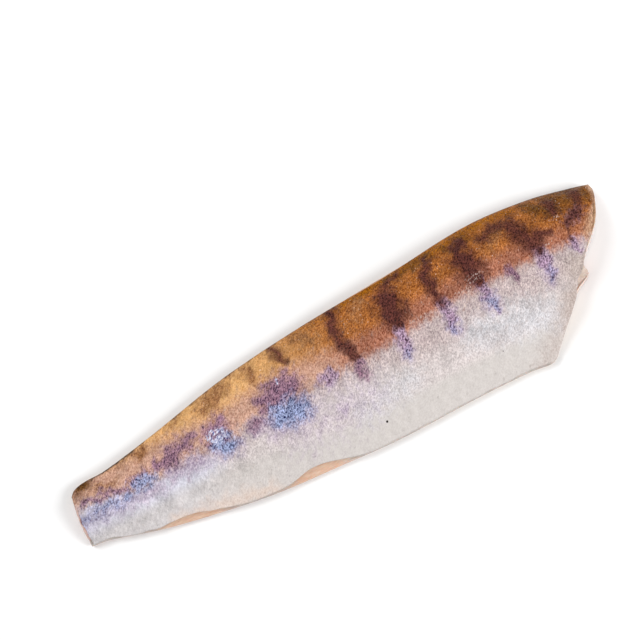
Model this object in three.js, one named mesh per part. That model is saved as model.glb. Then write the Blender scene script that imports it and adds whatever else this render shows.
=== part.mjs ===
// A zander fillet with its skin on, lying skin side up on the side that was cut from the backbone.
// Millimetres. +X runs from the tail cut to the head cut, +Y from the belly edge to the back edge, +Z up.
// The origin is the middle of the fillet's bounding box, on the surface that it rests on.
//
// Every point of the fillet has three shares between 0 and 1:
//   s  from the tail cut (0) to the head cut (1)
//   t  from the belly edge (0) to the back edge (1)
//   w  from the cut side underneath (0) to the skin side on top (1)
// Both solids are a box of such shares, bent into shape by one function each.
import * as THREE from "three";
import { mergeVertices } from "three/addons/utils/BufferGeometryUtils.js";

const { clamp, lerp, smoothstep } = THREE.MathUtils;

// ---------------------------------------------------------------- driving dimensions

const LOIN_HEIGHT = 20.5; // the thickest place, a little behind the head cut
const TAIL_HEIGHT = 8; // at the tail cut
const BELLY_EDGE_HEIGHT = 3; // the thin flap's edge
const BACK_EDGE_HEIGHT = 2.8; // the flesh that stands below the skin along the back
const SKIN_THICKNESS = 0.9;
const SEAM = 0.3; // between the flesh and the skin that lies on it

// The two long edges as seen from above, [x, y] at the places where they bend.
const BACK_EDGE = [
  [-158, 9.4],
  [-155.5, 12.2],
  [-150, 13.6],
  [-138, 13.8],
  [-110, 18.7],
  [-60, 29],
  [0, 35.8],
  [50, 39.6],
  [92, 42.3],
  [125, 39.7],
  [148, 35],
  [159.2, 32.2],
];
const BELLY_EDGE = [
  [-159.4, -16.6],
  [-150, -17.9],
  [-125, -25.2],
  [-95, -31.4],
  [-65, -36.1],
  [-30, -38.7],
  [5, -40.8],
  [50, -40.5],
  [80, -41.2],
  [87, -42],
  [92, -42.7],
  [95, -42.1],
  [97, -40.4],
];

// How far each cut swells past the straight line between its two corners, [t, mm].
const HEAD_CUT_SWELL = [
  [0, 0],
  [0.13, 2.2],
  [0.3, 5.6],
  [0.5, 6.2],
  [0.7, 9.2],
  [0.87, 5.9],
  [0.95, 3],
  [1, 0],
];
const TAIL_CUT_SWELL = 1.2;
const HEAD_SWELL_START = 0.8; // s, from where the head cut's swell pushes the fillet on
const TAIL_SWELL_END = 0.1; // s, as far as the tail cut's swell reaches

// A tag of flesh that was left standing on the head cut, where the fin sat.
const TAG_PLACE = 0.408; // t
const TAG_LENGTH = 5.5;
const TAG_HALF_WIDTH = 0.05; // t
const TAG_DROP = 0.38; // share of the height that it has lost
const TAG_ROOT = 0.955; // s, where it starts to be lower
const TAG_START = 0.95; // s, where it starts to stand out

// The height of the loin's crest along the fillet, [s, share of LOIN_HEIGHT - TAIL_HEIGHT].
const CREST_RISE = [
  [0, 0],
  [0.15, 0.1],
  [0.4, 0.42],
  [0.7, 0.82],
  [0.88, 1],
  [1, 0.94],
];
const CREST_PLACE = [0.54, 0.66]; // t, at the tail and at the head
const BACK_ROUNDNESS = 0.62; // below 1 the shoulder is full and ends steeply
const BELLY_ROUNDNESS = [0.78, 1.12]; // at the tail and at the head, where the flap is lean

// Relief of the skin side
const LATERAL_VALLEY = { depth: 0.6, place: 0.47, halfWidth: 0.05 };
const FLAP_STEP = { height: 0.8, place: 0.15, halfWidth: 0.025, from: 0.55, to: 0.75 };
const SWAY = 0.45; // soft unevenness of the surface, as three waves
const SWAY_WAVES = [
  { height: 1, alongS: 17, alongT: 4, start: 0 },
  { height: 0.6, alongS: 31, alongT: -9, start: 1 },
  { height: 0.5, alongS: 7, alongT: 11, start: 0 },
];
const CUT_DROOP = 1.4; // the surface sinks by this at both cuts
const CUT_DROOP_REACH = 0.045; // s

// Relief of the cut side underneath
const BONE_GROOVE = { depth: 0.9, place: 0.48, halfWidth: 0.022, start: 0.02, full: 0.12 }; // t, then s
const BELLY_HOLLOW = { depth: 0.5, from: 0.1, to: 0.34, soft: 0.06, start: 0.5, full: 0.6 }; // t, then s

// The flat part that the fillet rests on, corner by corner, [x, y]. Around it the cut side turns up.
const REST_CORNERS = [
  [-152, -13],
  [-100, -25],
  [-30, -34],
  [88, -37],
  [150, 28],
  [90, 37],
  [10, 32],
  [-80, 20],
  [-150, 9],
];
const RIM_SLOPE = 0.2;
const RIM_LIFT = 1; // at most

// The cut faces lean in towards the top by a share of their height.
const CUT_LEAN = 0.17;
const CUT_LEAN_REACH = 0.1; // s
const WALL_SWELL = 0.5;
const WALL_SWELL_REACH = 0.01; // t

// How much narrower the skin is than the flesh, in millimetres
const SKIN_INSET = 0.5;
const BARE_BACK = { width: 1.5, place: 33, halfWidth: 32 }; // x
const BARE_BELLY = [
  { width: 2.5, place: -108, halfWidth: 15 }, // x
  { width: 4, place: -41, halfWidth: 15 },
];
const BARE_TAG = 5.5;
const BARE_LOIN = { width: 1.6, place: 0.76, halfWidth: 0.14 }; // t, on the head cut

const FLESH_CELLS = [56, 24, 2]; // along s, t and w
const SKIN_CELLS = [52, 22, 1];
const SAME_POINT = 1e-4; // points nearer than this are one

// ---------------------------------------------------------------- small helpers

// A smooth curve y(x) through stations [x, y]. Its slope at each station comes from the two beside it.
function through(stations) {
  const last = stations.length - 1;
  const slopes = stations.map((_, i) => {
    const [x0, y0] = stations[Math.max(i - 1, 0)];
    const [x1, y1] = stations[Math.min(i + 1, last)];
    return (y1 - y0) / (x1 - x0);
  });
  return (x) => {
    let i = 0;
    while (i < last - 1 && x > stations[i + 1][0]) i += 1;
    const [x0, y0] = stations[i];
    const [x1, y1] = stations[i + 1];
    const step = x1 - x0;
    const k = clamp((x - x0) / step, 0, 1);
    const j = 1 - k;
    return (
      y0 * (1 + 2 * k) * j * j +
      slopes[i] * step * k * j * j +
      y1 * (1 + 2 * j) * k * k -
      slopes[i + 1] * step * j * k * k
    );
  };
}

// 1 at place, falling to 0 on both sides as a bell.
const bell = (x, place, halfWidth) => Math.exp(-(((x - place) / halfWidth) ** 2));
const bareAt = (x, { width, place, halfWidth }) => width * bell(x, place, halfWidth);

// ---------------------------------------------------------------- the outline seen from above

const backEdge = through(BACK_EDGE);
const bellyEdge = through(BELLY_EDGE);
const headCutSwell = through(HEAD_CUT_SWELL);
const crestRise = through(CREST_RISE);
const ends = (edge) => [edge[0][0], edge[edge.length - 1][0]];
const [BACK_TAIL, BACK_HEAD] = ends(BACK_EDGE);
const [BELLY_TAIL, BELLY_HEAD] = ends(BELLY_EDGE);

const tag = (t) => bell(t, TAG_PLACE, TAG_HALF_WIDTH);

// The place of (s, t) on the ground: straight across from edge to edge, then pushed along X near the cuts.
function ground(s, t) {
  const backX = lerp(BACK_TAIL, BACK_HEAD, s);
  const bellyX = lerp(BELLY_TAIL, BELLY_HEAD, s);
  const tagPush = smoothstep(s, TAG_START, 1) * TAG_LENGTH * tag(t);
  const headPush = smoothstep(s, HEAD_SWELL_START, 1) ** 2 * headCutSwell(t) + tagPush;
  const tailPush = (1 - smoothstep(s, 0, TAIL_SWELL_END)) * TAIL_CUT_SWELL * Math.sin(Math.PI * t);
  return new THREE.Vector2(
    lerp(bellyX, backX, t) + headPush - tailPush,
    lerp(bellyEdge(bellyX), backEdge(backX), t),
  );
}

// ---------------------------------------------------------------- heights

// The flesh's upper side. Across the fillet a sine rises from each edge to the crest of the loin.
function fleshTop(s, t) {
  const crest = lerp(CREST_PLACE[0], CREST_PLACE[1], s);
  const height = lerp(TAIL_HEIGHT, LOIN_HEIGHT, crestRise(s));
  const edge = lerp(BELLY_EDGE_HEIGHT, BACK_EDGE_HEIGHT, t);
  const onBack = t > crest;
  const climb = onBack ? (1 - t) / (1 - crest) : t / crest;
  const roundness = onBack ? BACK_ROUNDNESS : lerp(BELLY_ROUNDNESS[0], BELLY_ROUNDNESS[1], s);
  const dome = Math.sin((Math.PI / 2) * climb) ** roundness;

  const valley = LATERAL_VALLEY.depth * bell(t, LATERAL_VALLEY.place, LATERAL_VALLEY.halfWidth);
  const flap =
    FLAP_STEP.height *
    smoothstep(s, FLAP_STEP.from, FLAP_STEP.to) *
    (1 - smoothstep(t, FLAP_STEP.place - FLAP_STEP.halfWidth, FLAP_STEP.place + FLAP_STEP.halfWidth));
  const waves = SWAY_WAVES.map((wave) => {
    return wave.height * Math.sin(wave.alongS * s + wave.alongT * t + wave.start);
  });
  const sway = SWAY * (waves[0] + waves[1] + waves[2]);
  const toCut = Math.min(smoothstep(s, 0, CUT_DROOP_REACH), 1 - smoothstep(s, 1 - CUT_DROOP_REACH, 1));
  const droop = CUT_DROOP * (1 - toCut);
  const lost = TAG_DROP * tag(t) * smoothstep(s, TAG_ROOT, 1) * height;

  return edge + dome * (height - edge - valley - flap + sway - droop - lost);
}

// How far (x, y) lies outside the flat part: the farthest that any of its straight sides leaves it out.
function outsideRest(x, y) {
  const distances = REST_CORNERS.map(([ax, ay], i) => {
    const [bx, by] = REST_CORNERS[(i + 1) % REST_CORNERS.length];
    return ((x - ax) * (by - ay) - (y - ay) * (bx - ax)) / Math.hypot(bx - ax, by - ay);
  });
  return Math.max(0, ...distances);
}

// The cut side: flat on the table, with the groove of the backbone, the belly's hollow and an upturned rim.
function fleshBottom(s, t) {
  const middle = bell(t, BONE_GROOVE.place, BONE_GROOVE.halfWidth);
  const groove = BONE_GROOVE.depth * middle * smoothstep(s, BONE_GROOVE.start, BONE_GROOVE.full);
  const { depth, from, to, soft, start, full } = BELLY_HOLLOW;
  const across = smoothstep(t, from, from + soft) * (1 - smoothstep(t, to - soft, to));
  const hollow = depth * across * smoothstep(s, start, full);
  const { x, y } = ground(s, t);
  const rim = Math.min(RIM_SLOPE * outsideRest(x, y), RIM_LIFT);
  return Math.max(groove, hollow, rim);
}

// A point of the flesh. The walls of the two cuts lean in towards the top, and all walls swell a little.
function fleshPoint(s, t, w) {
  const { x, y } = ground(s, t);
  const top = fleshTop(s, t);
  const bottom = fleshBottom(s, t);
  const atHead = smoothstep(s, 1 - CUT_LEAN_REACH, 1);
  const atTail = 1 - smoothstep(s, 0, CUT_LEAN_REACH);
  const atBack = smoothstep(t, 1 - WALL_SWELL_REACH, 1);
  const atBelly = 1 - smoothstep(t, 0, WALL_SWELL_REACH);
  const lean = CUT_LEAN * (top - bottom) * w;
  const swell = WALL_SWELL * Math.sin(Math.PI * w);
  return new THREE.Vector3(
    x + (atTail - atHead) * (lean - swell),
    y + (atBack - atBelly) * swell,
    lerp(bottom, top, w),
  );
}

// ---------------------------------------------------------------- the skin

// The shares (s, t) of the skin's own point (u, v), which stays in from the flesh's edges.
function skinShares(u, v) {
  const nearHead = ground(1, v);
  const length = nearHead.x - ground(0, v).x;
  const headInset = SKIN_INSET + BARE_TAG * tag(v) + bareAt(v, BARE_LOIN);
  const s = lerp(SKIN_INSET / length, 1 - headInset / length, u);
  const back = ground(s, 1);
  const belly = ground(s, 0);
  const width = back.y - belly.y;
  const bareBelly = BARE_BELLY.reduce((sum, bare) => sum + bareAt(belly.x, bare), SKIN_INSET);
  const bareBack = SKIN_INSET + bareAt(back.x, BARE_BACK);
  return [s, lerp(bareBelly / width, 1 - bareBack / width, v)];
}

// The way out of the flesh's upper side at (s, t), square to it.
const NEXT_SHARE = 1e-3; // how far off the two points lie that give the slope
function outward(s, t) {
  const step = NEXT_SHARE;
  const [s0, s1] = [Math.max(s - step, 0), Math.min(s + step, 1)];
  const [t0, t1] = [Math.max(t - step, 0), Math.min(t + step, 1)];
  const along = fleshPoint(s1, t, 1).sub(fleshPoint(s0, t, 1));
  const across = fleshPoint(s, t1, 1).sub(fleshPoint(s, t0, 1));
  return along.cross(across).normalize();
}

// A point of the skin: the flesh's upper side, moved out by the seam and then by the skin's thickness.
function skinPoint(u, v, w) {
  const [s, t] = skinShares(u, v);
  return fleshPoint(s, t, 1).addScaledVector(outward(s, t), SEAM + SKIN_THICKNESS * w);
}

// ---------------------------------------------------------------- building

// Cells get narrower towards both ends of a share, where the surface bends most: from even (0) to a cosine (1).
const NARROWING = 0.6;
const towardsEnds = (share) => lerp(share, 0.5 - 0.5 * Math.cos(Math.PI * share), NARROWING);

// A closed mesh: a box with the given cells along each share, each of its points moved to its place.
function bentBox([alongS, alongT, alongW], place) {
  const box = new THREE.BoxGeometry(1, 1, 1, alongS, alongT, alongW).translate(0.5, 0.5, 0.5);
  const position = box.getAttribute("position");
  for (let i = 0; i < position.count; i += 1) {
    const s = towardsEnds(clamp(position.getX(i), 0, 1));
    const t = towardsEnds(clamp(position.getY(i), 0, 1));
    const { x, y, z } = place(s, t, clamp(position.getZ(i), 0, 1));
    position.setXYZ(i, x, y, z);
  }
  box.deleteAttribute("normal");
  box.deleteAttribute("uv");
  const closed = mergeVertices(box, SAME_POINT);
  closed.computeVertexNormals();
  return closed;
}

function mesh(name, geometry, color, roughness) {
  const made = new THREE.Mesh(geometry, new THREE.MeshStandardMaterial({ color, roughness, metalness: 0 }));
  made.name = name;
  return made;
}

const fillet = new THREE.Group();
fillet.name = "zander_fillet";
fillet.add(mesh("flesh", bentBox(FLESH_CELLS, fleshPoint), 0xe3bfa9, 0.35));
fillet.add(mesh("skin", bentBox(SKIN_CELLS, skinPoint), 0xa98d7b, 0.3));

export default fillet;
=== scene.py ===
import math

import bpy
import numpy as np
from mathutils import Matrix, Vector


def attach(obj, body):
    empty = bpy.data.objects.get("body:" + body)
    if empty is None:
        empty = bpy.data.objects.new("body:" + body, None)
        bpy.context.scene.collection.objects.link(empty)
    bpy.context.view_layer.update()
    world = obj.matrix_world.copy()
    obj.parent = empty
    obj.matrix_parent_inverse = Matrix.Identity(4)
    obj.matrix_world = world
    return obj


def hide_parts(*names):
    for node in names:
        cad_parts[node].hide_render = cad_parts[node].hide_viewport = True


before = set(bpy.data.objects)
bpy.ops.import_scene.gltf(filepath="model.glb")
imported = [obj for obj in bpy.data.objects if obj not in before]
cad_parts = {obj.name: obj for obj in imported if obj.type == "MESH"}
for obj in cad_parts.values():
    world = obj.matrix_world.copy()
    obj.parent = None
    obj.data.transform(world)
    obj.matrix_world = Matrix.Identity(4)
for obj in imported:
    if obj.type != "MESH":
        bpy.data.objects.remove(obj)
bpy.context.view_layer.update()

scene = bpy.context.scene
MM = 0.001

# ---- driving dimensions

LOIN_HEIGHT = 20.5
TAIL_HEIGHT = 8
EDGE_HEIGHTS = (3, 2.8)  # at the belly edge and at the back edge
SKIN_THICKNESS = 0.9
SEAM = 0.3  # between the two solids

# The two long edges as seen from above, (x, y) at the places where they bend.
BACK_EDGE = [
    (-158, 9.4), (-155.5, 12.2), (-150, 13.6), (-138, 13.8), (-110, 18.7), (-60, 29), (0, 35.8),
    (50, 39.6), (92, 42.3), (125, 39.7), (148, 35), (159.2, 32.2),
]
BELLY_EDGE = [
    (-159.4, -16.6), (-150, -17.9), (-125, -25.2), (-95, -31.4), (-65, -36.1), (-30, -38.7), (5, -40.8),
    (50, -40.5), (80, -41.2), (87, -42), (92, -42.7), (95, -42.1), (97, -40.4),
]

# How far each cut swells past the straight line between its two corners, (t, mm).
HEAD_CUT_SWELL = [
    (0, 0), (0.13, 2.2), (0.3, 5.6), (0.5, 6.2), (0.7, 9.2), (0.87, 5.9), (0.95, 3), (1, 0),
]
TAIL_CUT_SWELL = 1.2
HEAD_SWELL_START = 0.8  # s, from where the head cut's swell pushes the fillet on
TAIL_SWELL_END = 0.1  # s, as far as the tail cut's swell reaches

# A tag of flesh that was left standing on the head cut, where the fin sat: it stands out from its start on,
# and from its root on it has lost a share of its height.
TAG = {"place": 0.408, "half_width": 0.05, "length": 5.5, "start": 0.95, "drop": 0.38, "root": 0.955}

# The height of the loin's crest along the fillet, (s, share of LOIN_HEIGHT - TAIL_HEIGHT).
CREST_RISE = [(0, 0), (0.15, 0.1), (0.4, 0.42), (0.7, 0.82), (0.88, 1), (1, 0.94)]
CREST_PLACE = (0.54, 0.66)  # t, at the tail and at the head
BACK_ROUNDNESS = 0.62
BELLY_ROUNDNESS = (0.78, 1.12)  # at the tail and at the head

LATERAL_VALLEY = {"depth": 0.6, "place": 0.47, "half_width": 0.05}
FLAP_STEP = {"height": 0.8, "place": 0.15, "half_width": 0.025, "s": (0.55, 0.75)}
SWAY = 0.45  # soft unevenness of the surface, as three waves
SWAY_WAVES = [(1, 17, 4, 0), (0.6, 31, -9, 1), (0.5, 7, 11, 0)]  # (height, radians along s, along t, start)
CUT_DROOP = 1.4  # the surface sinks by this at both cuts
CUT_DROOP_REACH = 0.045  # s

# Relief of the cut side underneath. A span is (where there is none, where it is whole).
BONE_GROOVE = {"depth": 0.9, "place": 0.48, "half_width": 0.022, "s": (0.02, 0.12)}
BELLY_HOLLOW = {"depth": 0.5, "in_t": (0.1, 0.16), "out_t": (0.34, 0.28), "s": (0.5, 0.6)}

# The flat part that the fillet rests on, corner by corner, (x, y). Around it the cut side turns up.
REST_CORNERS = [
    (-152, -13), (-100, -25), (-30, -34), (88, -37), (150, 28), (90, 37), (10, 32), (-80, 20), (-150, 9),
]
RIM_SLOPE = 0.2
RIM_LIFT = 1  # at most

# The cut faces lean in towards the top by a share of their height, and all walls swell a little.
CUT_LEAN = 0.17
CUT_LEAN_REACH = 0.1  # s
WALL_SWELL = 0.5
WALL_SWELL_REACH = 0.01  # t

# How much narrower the skin is than the flesh
SKIN_INSET = 0.5
BARE_BACK = {"width": 1.5, "place": 33, "half_width": 32}  # x
BARE_BELLY = [
    {"width": 2.5, "place": -108, "half_width": 15},  # x
    {"width": 4, "place": -41, "half_width": 15},
]
BARE_TAG = 5.5
BARE_LOIN = {"width": 1.6, "place": 0.76, "half_width": 0.14}  # t, on the head cut

SKIN_CELLS = (600, 144)  # along and across
SKIN_UNDER_CELLS = 4  # cells of the skin's upper side to one of its under side; fan_faces is made for four
FLESH_CELLS = (400, 92)
FLESH_WALL_ROWS = 24

# ---- small helpers


def lerp(a, b, share):
    """a at share 0, b at share 1, in a straight line."""
    return a + (b - a) * share


def smoothstep(x, low, high):
    """0 below low, 1 above high, and a smooth cubic between; it falls instead where high is the lesser."""
    share = np.clip((x - low) / (high - low), 0, 1)
    return share * share * (3 - 2 * share)


def ramp(x, span):
    """0 at the first place of the span and 1 at the second, whichever of them is the greater."""
    return smoothstep(x, *span)


def bell(x, place, half_width):
    """1 at place, falling to 0 on both sides as a Gaussian."""
    return np.exp(-(((x - place) / half_width) ** 2))


def bell_of(x, sizes):
    """The bell that a dictionary of place and half_width describes."""
    return bell(x, sizes["place"], sizes["half_width"])


def through(stations):
    """A smooth curve y(x) through stations (x, y): cubic Hermite, each slope from the stations beside it."""
    xs, ys = np.array(stations, float).T
    count = len(xs)
    before = np.maximum(np.arange(count) - 1, 0)
    after = np.minimum(np.arange(count) + 1, count - 1)
    slopes = (ys[after] - ys[before]) / (xs[after] - xs[before])

    def curve(x):
        x = np.asarray(x, float)
        i = np.clip(np.searchsorted(xs, x) - 1, 0, count - 2)
        step = xs[i + 1] - xs[i]
        k = np.clip((x - xs[i]) / step, 0, 1)
        j = 1 - k
        start = ys[i] * (1 + 2 * k) * j * j + slopes[i] * step * k * j * j
        end = ys[i + 1] * (1 + 2 * j) * k * k - slopes[i + 1] * step * j * k * k
        return start + end

    return curve


def ripple(x, y, wavelength, seed, waves=28, spread=0.3):
    """Random relief of about -1 to 1: plane waves of nearly one length, in random directions, added up."""
    random = np.random.default_rng(seed)
    turn = random.uniform(0, math.tau, waves)
    phase = random.uniform(0, math.tau, waves)
    number = math.tau / (wavelength * random.uniform(1 - spread, 1 + spread, waves))
    total = np.zeros(np.broadcast(x, y).shape)
    for k in range(waves):
        along = x * math.cos(turn[k]) + y * math.sin(turn[k])
        total += np.sin(along * number[k] + phase[k])
    return total * math.sqrt(1 / waves)


# ---- the fillet's form

back_edge = through(BACK_EDGE)
belly_edge = through(BELLY_EDGE)
head_cut_swell = through(HEAD_CUT_SWELL)
crest_rise = through(CREST_RISE)


def ground(s, t):
    """(x, y) of the shares: straight across from edge to edge, then pushed along X near the two cuts."""
    back_x = lerp(BACK_EDGE[0][0], BACK_EDGE[-1][0], s)
    belly_x = lerp(BELLY_EDGE[0][0], BELLY_EDGE[-1][0], s)
    tag_push = smoothstep(s, TAG["start"], 1) * TAG["length"] * bell_of(t, TAG)
    head_push = smoothstep(s, HEAD_SWELL_START, 1) ** 2 * head_cut_swell(t) + tag_push
    tail_push = (1 - smoothstep(s, 0, TAIL_SWELL_END)) * TAIL_CUT_SWELL * np.sin(math.pi * t)
    x = lerp(belly_x, back_x, t) + head_push - tail_push
    return x, lerp(belly_edge(belly_x), back_edge(back_x), t)


def flesh_top(s, t):
    """Height of the flesh's upper side: a sine from each edge to the crest, less the valleys and the step."""
    crest = lerp(*CREST_PLACE, s)
    height = lerp(TAIL_HEIGHT, LOIN_HEIGHT, crest_rise(s))
    edge = lerp(*EDGE_HEIGHTS, t)
    on_back = t > crest
    climb = np.where(on_back, (1 - t) / (1 - crest), t / crest)
    roundness = np.where(on_back, BACK_ROUNDNESS, lerp(*BELLY_ROUNDNESS, s))
    dome = np.maximum(np.sin(math.pi / 2 * climb), 0) ** roundness

    valley = LATERAL_VALLEY["depth"] * bell_of(t, LATERAL_VALLEY)
    step_low = FLAP_STEP["place"] - FLAP_STEP["half_width"]
    step_high = FLAP_STEP["place"] + FLAP_STEP["half_width"]
    along_flap = ramp(s, FLAP_STEP["s"])
    flap = FLAP_STEP["height"] * along_flap * (1 - smoothstep(t, step_low, step_high))
    waves = sum(tall * np.sin(turn_s * s + turn_t * t + start) for tall, turn_s, turn_t, start in SWAY_WAVES)
    to_cut = np.minimum(smoothstep(s, 0, CUT_DROOP_REACH), 1 - smoothstep(s, 1 - CUT_DROOP_REACH, 1))
    droop = CUT_DROOP * (1 - to_cut)
    lost = TAG["drop"] * bell_of(t, TAG) * smoothstep(s, TAG["root"], 1) * height
    return edge + dome * (height - edge - valley - flap + SWAY * waves - droop - lost)


def outside_rest(x, y):
    """How far (x, y) lies outside the flat part: the most that any of its straight sides leaves it out."""
    start = np.array(REST_CORNERS, float)
    side = np.roll(start, -1, axis=0) - start
    out = (x[..., None] - start[:, 0]) * side[:, 1] - (y[..., None] - start[:, 1]) * side[:, 0]
    return np.maximum((out / np.hypot(side[:, 0], side[:, 1])).max(axis=-1), 0)


def flesh_bottom(s, t):
    """Height of the cut side: 0, or the highest of the backbone's groove, the belly's hollow and the rim."""
    groove = BONE_GROOVE["depth"] * bell_of(t, BONE_GROOVE) * ramp(s, BONE_GROOVE["s"])
    hollow = BELLY_HOLLOW["depth"] * ramp(t, BELLY_HOLLOW["in_t"]) * ramp(t, BELLY_HOLLOW["out_t"])
    hollow = hollow * ramp(s, BELLY_HOLLOW["s"])
    rim = np.minimum(RIM_SLOPE * outside_rest(*ground(s, t)), RIM_LIFT)
    return np.maximum(np.maximum(groove, hollow), rim)


def flesh_point(s, t, w):
    """A point of the flesh: straight up from the cut side to the top, both cuts leaning in as they rise."""
    x, y = ground(s, t)
    top = flesh_top(s, t)
    bottom = flesh_bottom(s, t)
    towards_cut = (1 - smoothstep(s, 0, CUT_LEAN_REACH)) - smoothstep(s, 1 - CUT_LEAN_REACH, 1)
    towards_edge = smoothstep(t, 1 - WALL_SWELL_REACH, 1) - (1 - smoothstep(t, 0, WALL_SWELL_REACH))
    swell = WALL_SWELL * np.sin(math.pi * w)
    x = x + towards_cut * (CUT_LEAN * (top - bottom) * w - swell)
    y = y + towards_edge * swell
    return np.stack(np.broadcast_arrays(x, y, lerp(bottom, top, w)), axis=-1)


NEXT_SHARE = 1e-3  # how far off the two points lie that give the slope


def outward(s, t):
    """The way out of the flesh's upper side: the cross product of its steps along s and along t."""
    step = NEXT_SHARE
    s0, s1 = np.maximum(s - step, 0), np.minimum(s + step, 1)
    t0, t1 = np.maximum(t - step, 0), np.minimum(t + step, 1)
    along = flesh_point(s1, t, 1.0) - flesh_point(s0, t, 1.0)
    across = flesh_point(s, t1, 1.0) - flesh_point(s, t0, 1.0)
    normal = np.cross(along, across)
    return normal / np.linalg.norm(normal, axis=-1, keepdims=True)


def skin_shares(u, v):
    """(s, t) of the skin's own shares (u, v): the flesh's, drawn in from each edge by the bare widths."""
    length = ground(1.0, v)[0] - ground(0.0, v)[0]
    head_inset = SKIN_INSET + BARE_TAG * bell_of(v, TAG) + BARE_LOIN["width"] * bell_of(v, BARE_LOIN)
    s = lerp(SKIN_INSET / length, 1 - head_inset / length, u)
    back_x, back_y = ground(s, 1.0)
    belly_x, belly_y = ground(s, 0.0)
    width = back_y - belly_y
    bare_belly = SKIN_INSET + sum(bare["width"] * bell_of(belly_x, bare) for bare in BARE_BELLY)
    bare_back = SKIN_INSET + BARE_BACK["width"] * bell_of(back_x, BARE_BACK)
    return s, lerp(bare_belly / width, 1 - bare_back / width, v)


# ---- meshes


def ring(columns, rows):
    """Grid numbers (i, j) once round the edge of a grid, anticlockwise as seen from above."""
    i = np.concatenate([
        np.arange(columns), np.full(rows, columns), np.arange(columns, 0, -1), np.zeros(rows, int)
    ])
    j = np.concatenate([
        np.zeros(columns, int), np.arange(rows), np.full(columns, rows), np.arange(rows, 0, -1)
    ])
    return i, j


def grid_faces(numbers, upwards):
    """Four-sided faces between the neighbours of a grid of point numbers."""
    a, b = numbers[:-1, :-1], numbers[1:, :-1]
    c, d = numbers[1:, 1:], numbers[:-1, 1:]
    corners = (a, b, c, d) if upwards else (a, d, c, b)
    return np.stack(corners, axis=-1).reshape(-1, 4)


def belt_faces(upper, lower):
    """Four-sided faces of the belt between two rings of as many points, the upper one and the lower one."""
    corners = (upper, lower, np.roll(lower, -1), np.roll(upper, -1))
    return np.stack(corners, axis=-1)


def fan_faces(upper, lower):
    """Triangles between a ring and one of a quarter as many points: five to each of the lower steps."""
    fine = np.append(upper, upper[0])
    start = np.arange(len(lower)) * 4
    f0, f1, f2, f3, f4 = (fine[start + k] for k in range(5))
    c0, c1 = lower, np.roll(lower, -1)
    fans = [(f0, c0, f1), (f1, c0, f2), (c0, c1, f2), (f2, c1, f3), (f3, c1, f4)]
    return np.concatenate([np.stack(fan, axis=-1) for fan in fans])


def closed_sheet(name, top, belts, bottom, attributes):
    """A closed mesh of an upper grid, rings down its side, and a lower grid that may be four times as coarse.

    Points come in that order, and so do the values of each attribute.
    """
    columns, rows = top.shape[0] - 1, top.shape[1] - 1
    top_numbers = np.arange(top.shape[0] * top.shape[1]).reshape(top.shape[:2])
    i, j = ring(columns, rows)
    rings = [top_numbers[i, j]]
    count = top_numbers.size
    for belt in belts:
        rings.append(np.arange(len(belt)) + count)
        count += len(belt)
    bottom_numbers = np.arange(bottom.shape[0] * bottom.shape[1]).reshape(bottom.shape[:2]) + count
    i, j = ring(bottom.shape[0] - 1, bottom.shape[1] - 1)
    last = bottom_numbers[i, j]

    quads = [grid_faces(top_numbers, True), grid_faces(bottom_numbers, False)]
    quads += [belt_faces(upper, lower) for upper, lower in zip(rings, rings[1:])]
    triangles = np.empty((0, 3), int)
    if len(last) == len(rings[-1]):
        quads.append(belt_faces(rings[-1], last))
    else:
        triangles = fan_faces(rings[-1], last)
    quads = np.concatenate(quads)
    points = np.concatenate([top.reshape(-1, 3), *belts, bottom.reshape(-1, 3)]) * MM

    mesh = bpy.data.meshes.new(name)
    mesh.vertices.add(len(points))
    mesh.vertices.foreach_set("co", points.ravel())
    mesh.loops.add(quads.size + triangles.size)
    mesh.loops.foreach_set("vertex_index", np.concatenate([quads.ravel(), triangles.ravel()]))
    starts = np.concatenate([np.arange(len(quads)) * 4, quads.size + np.arange(len(triangles)) * 3])
    mesh.polygons.add(len(starts))
    mesh.polygons.foreach_set("loop_start", starts)
    mesh.polygons.foreach_set("use_smooth", np.ones(len(starts), bool))
    mesh.update(calc_edges=True)
    for attribute, values in attributes.items():
        layer = mesh.attributes.new(attribute, "FLOAT", "POINT")
        layer.data.foreach_set("value", np.asarray(values, np.float32))
    mesh.validate()
    made = bpy.data.objects.new(name, mesh)
    scene.collection.objects.link(made)
    return made


# ---- marks on the skin, seen from above

# Where the brown back ends and the silver flank begins, (x, y).
BACK_LIMIT = [
    (-158, 2.5), (-150, 3.5), (-130, -0.5), (-100, -1), (-70, -1.5), (-50, 1), (0, 1.6), (20, 2.4),
    (45, 5.2), (70, 6.8), (110, 6.6), (140, 5),
]
BACK_LIMIT_SOFTNESS = (6, 5)  # towards the tail and towards the head

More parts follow.
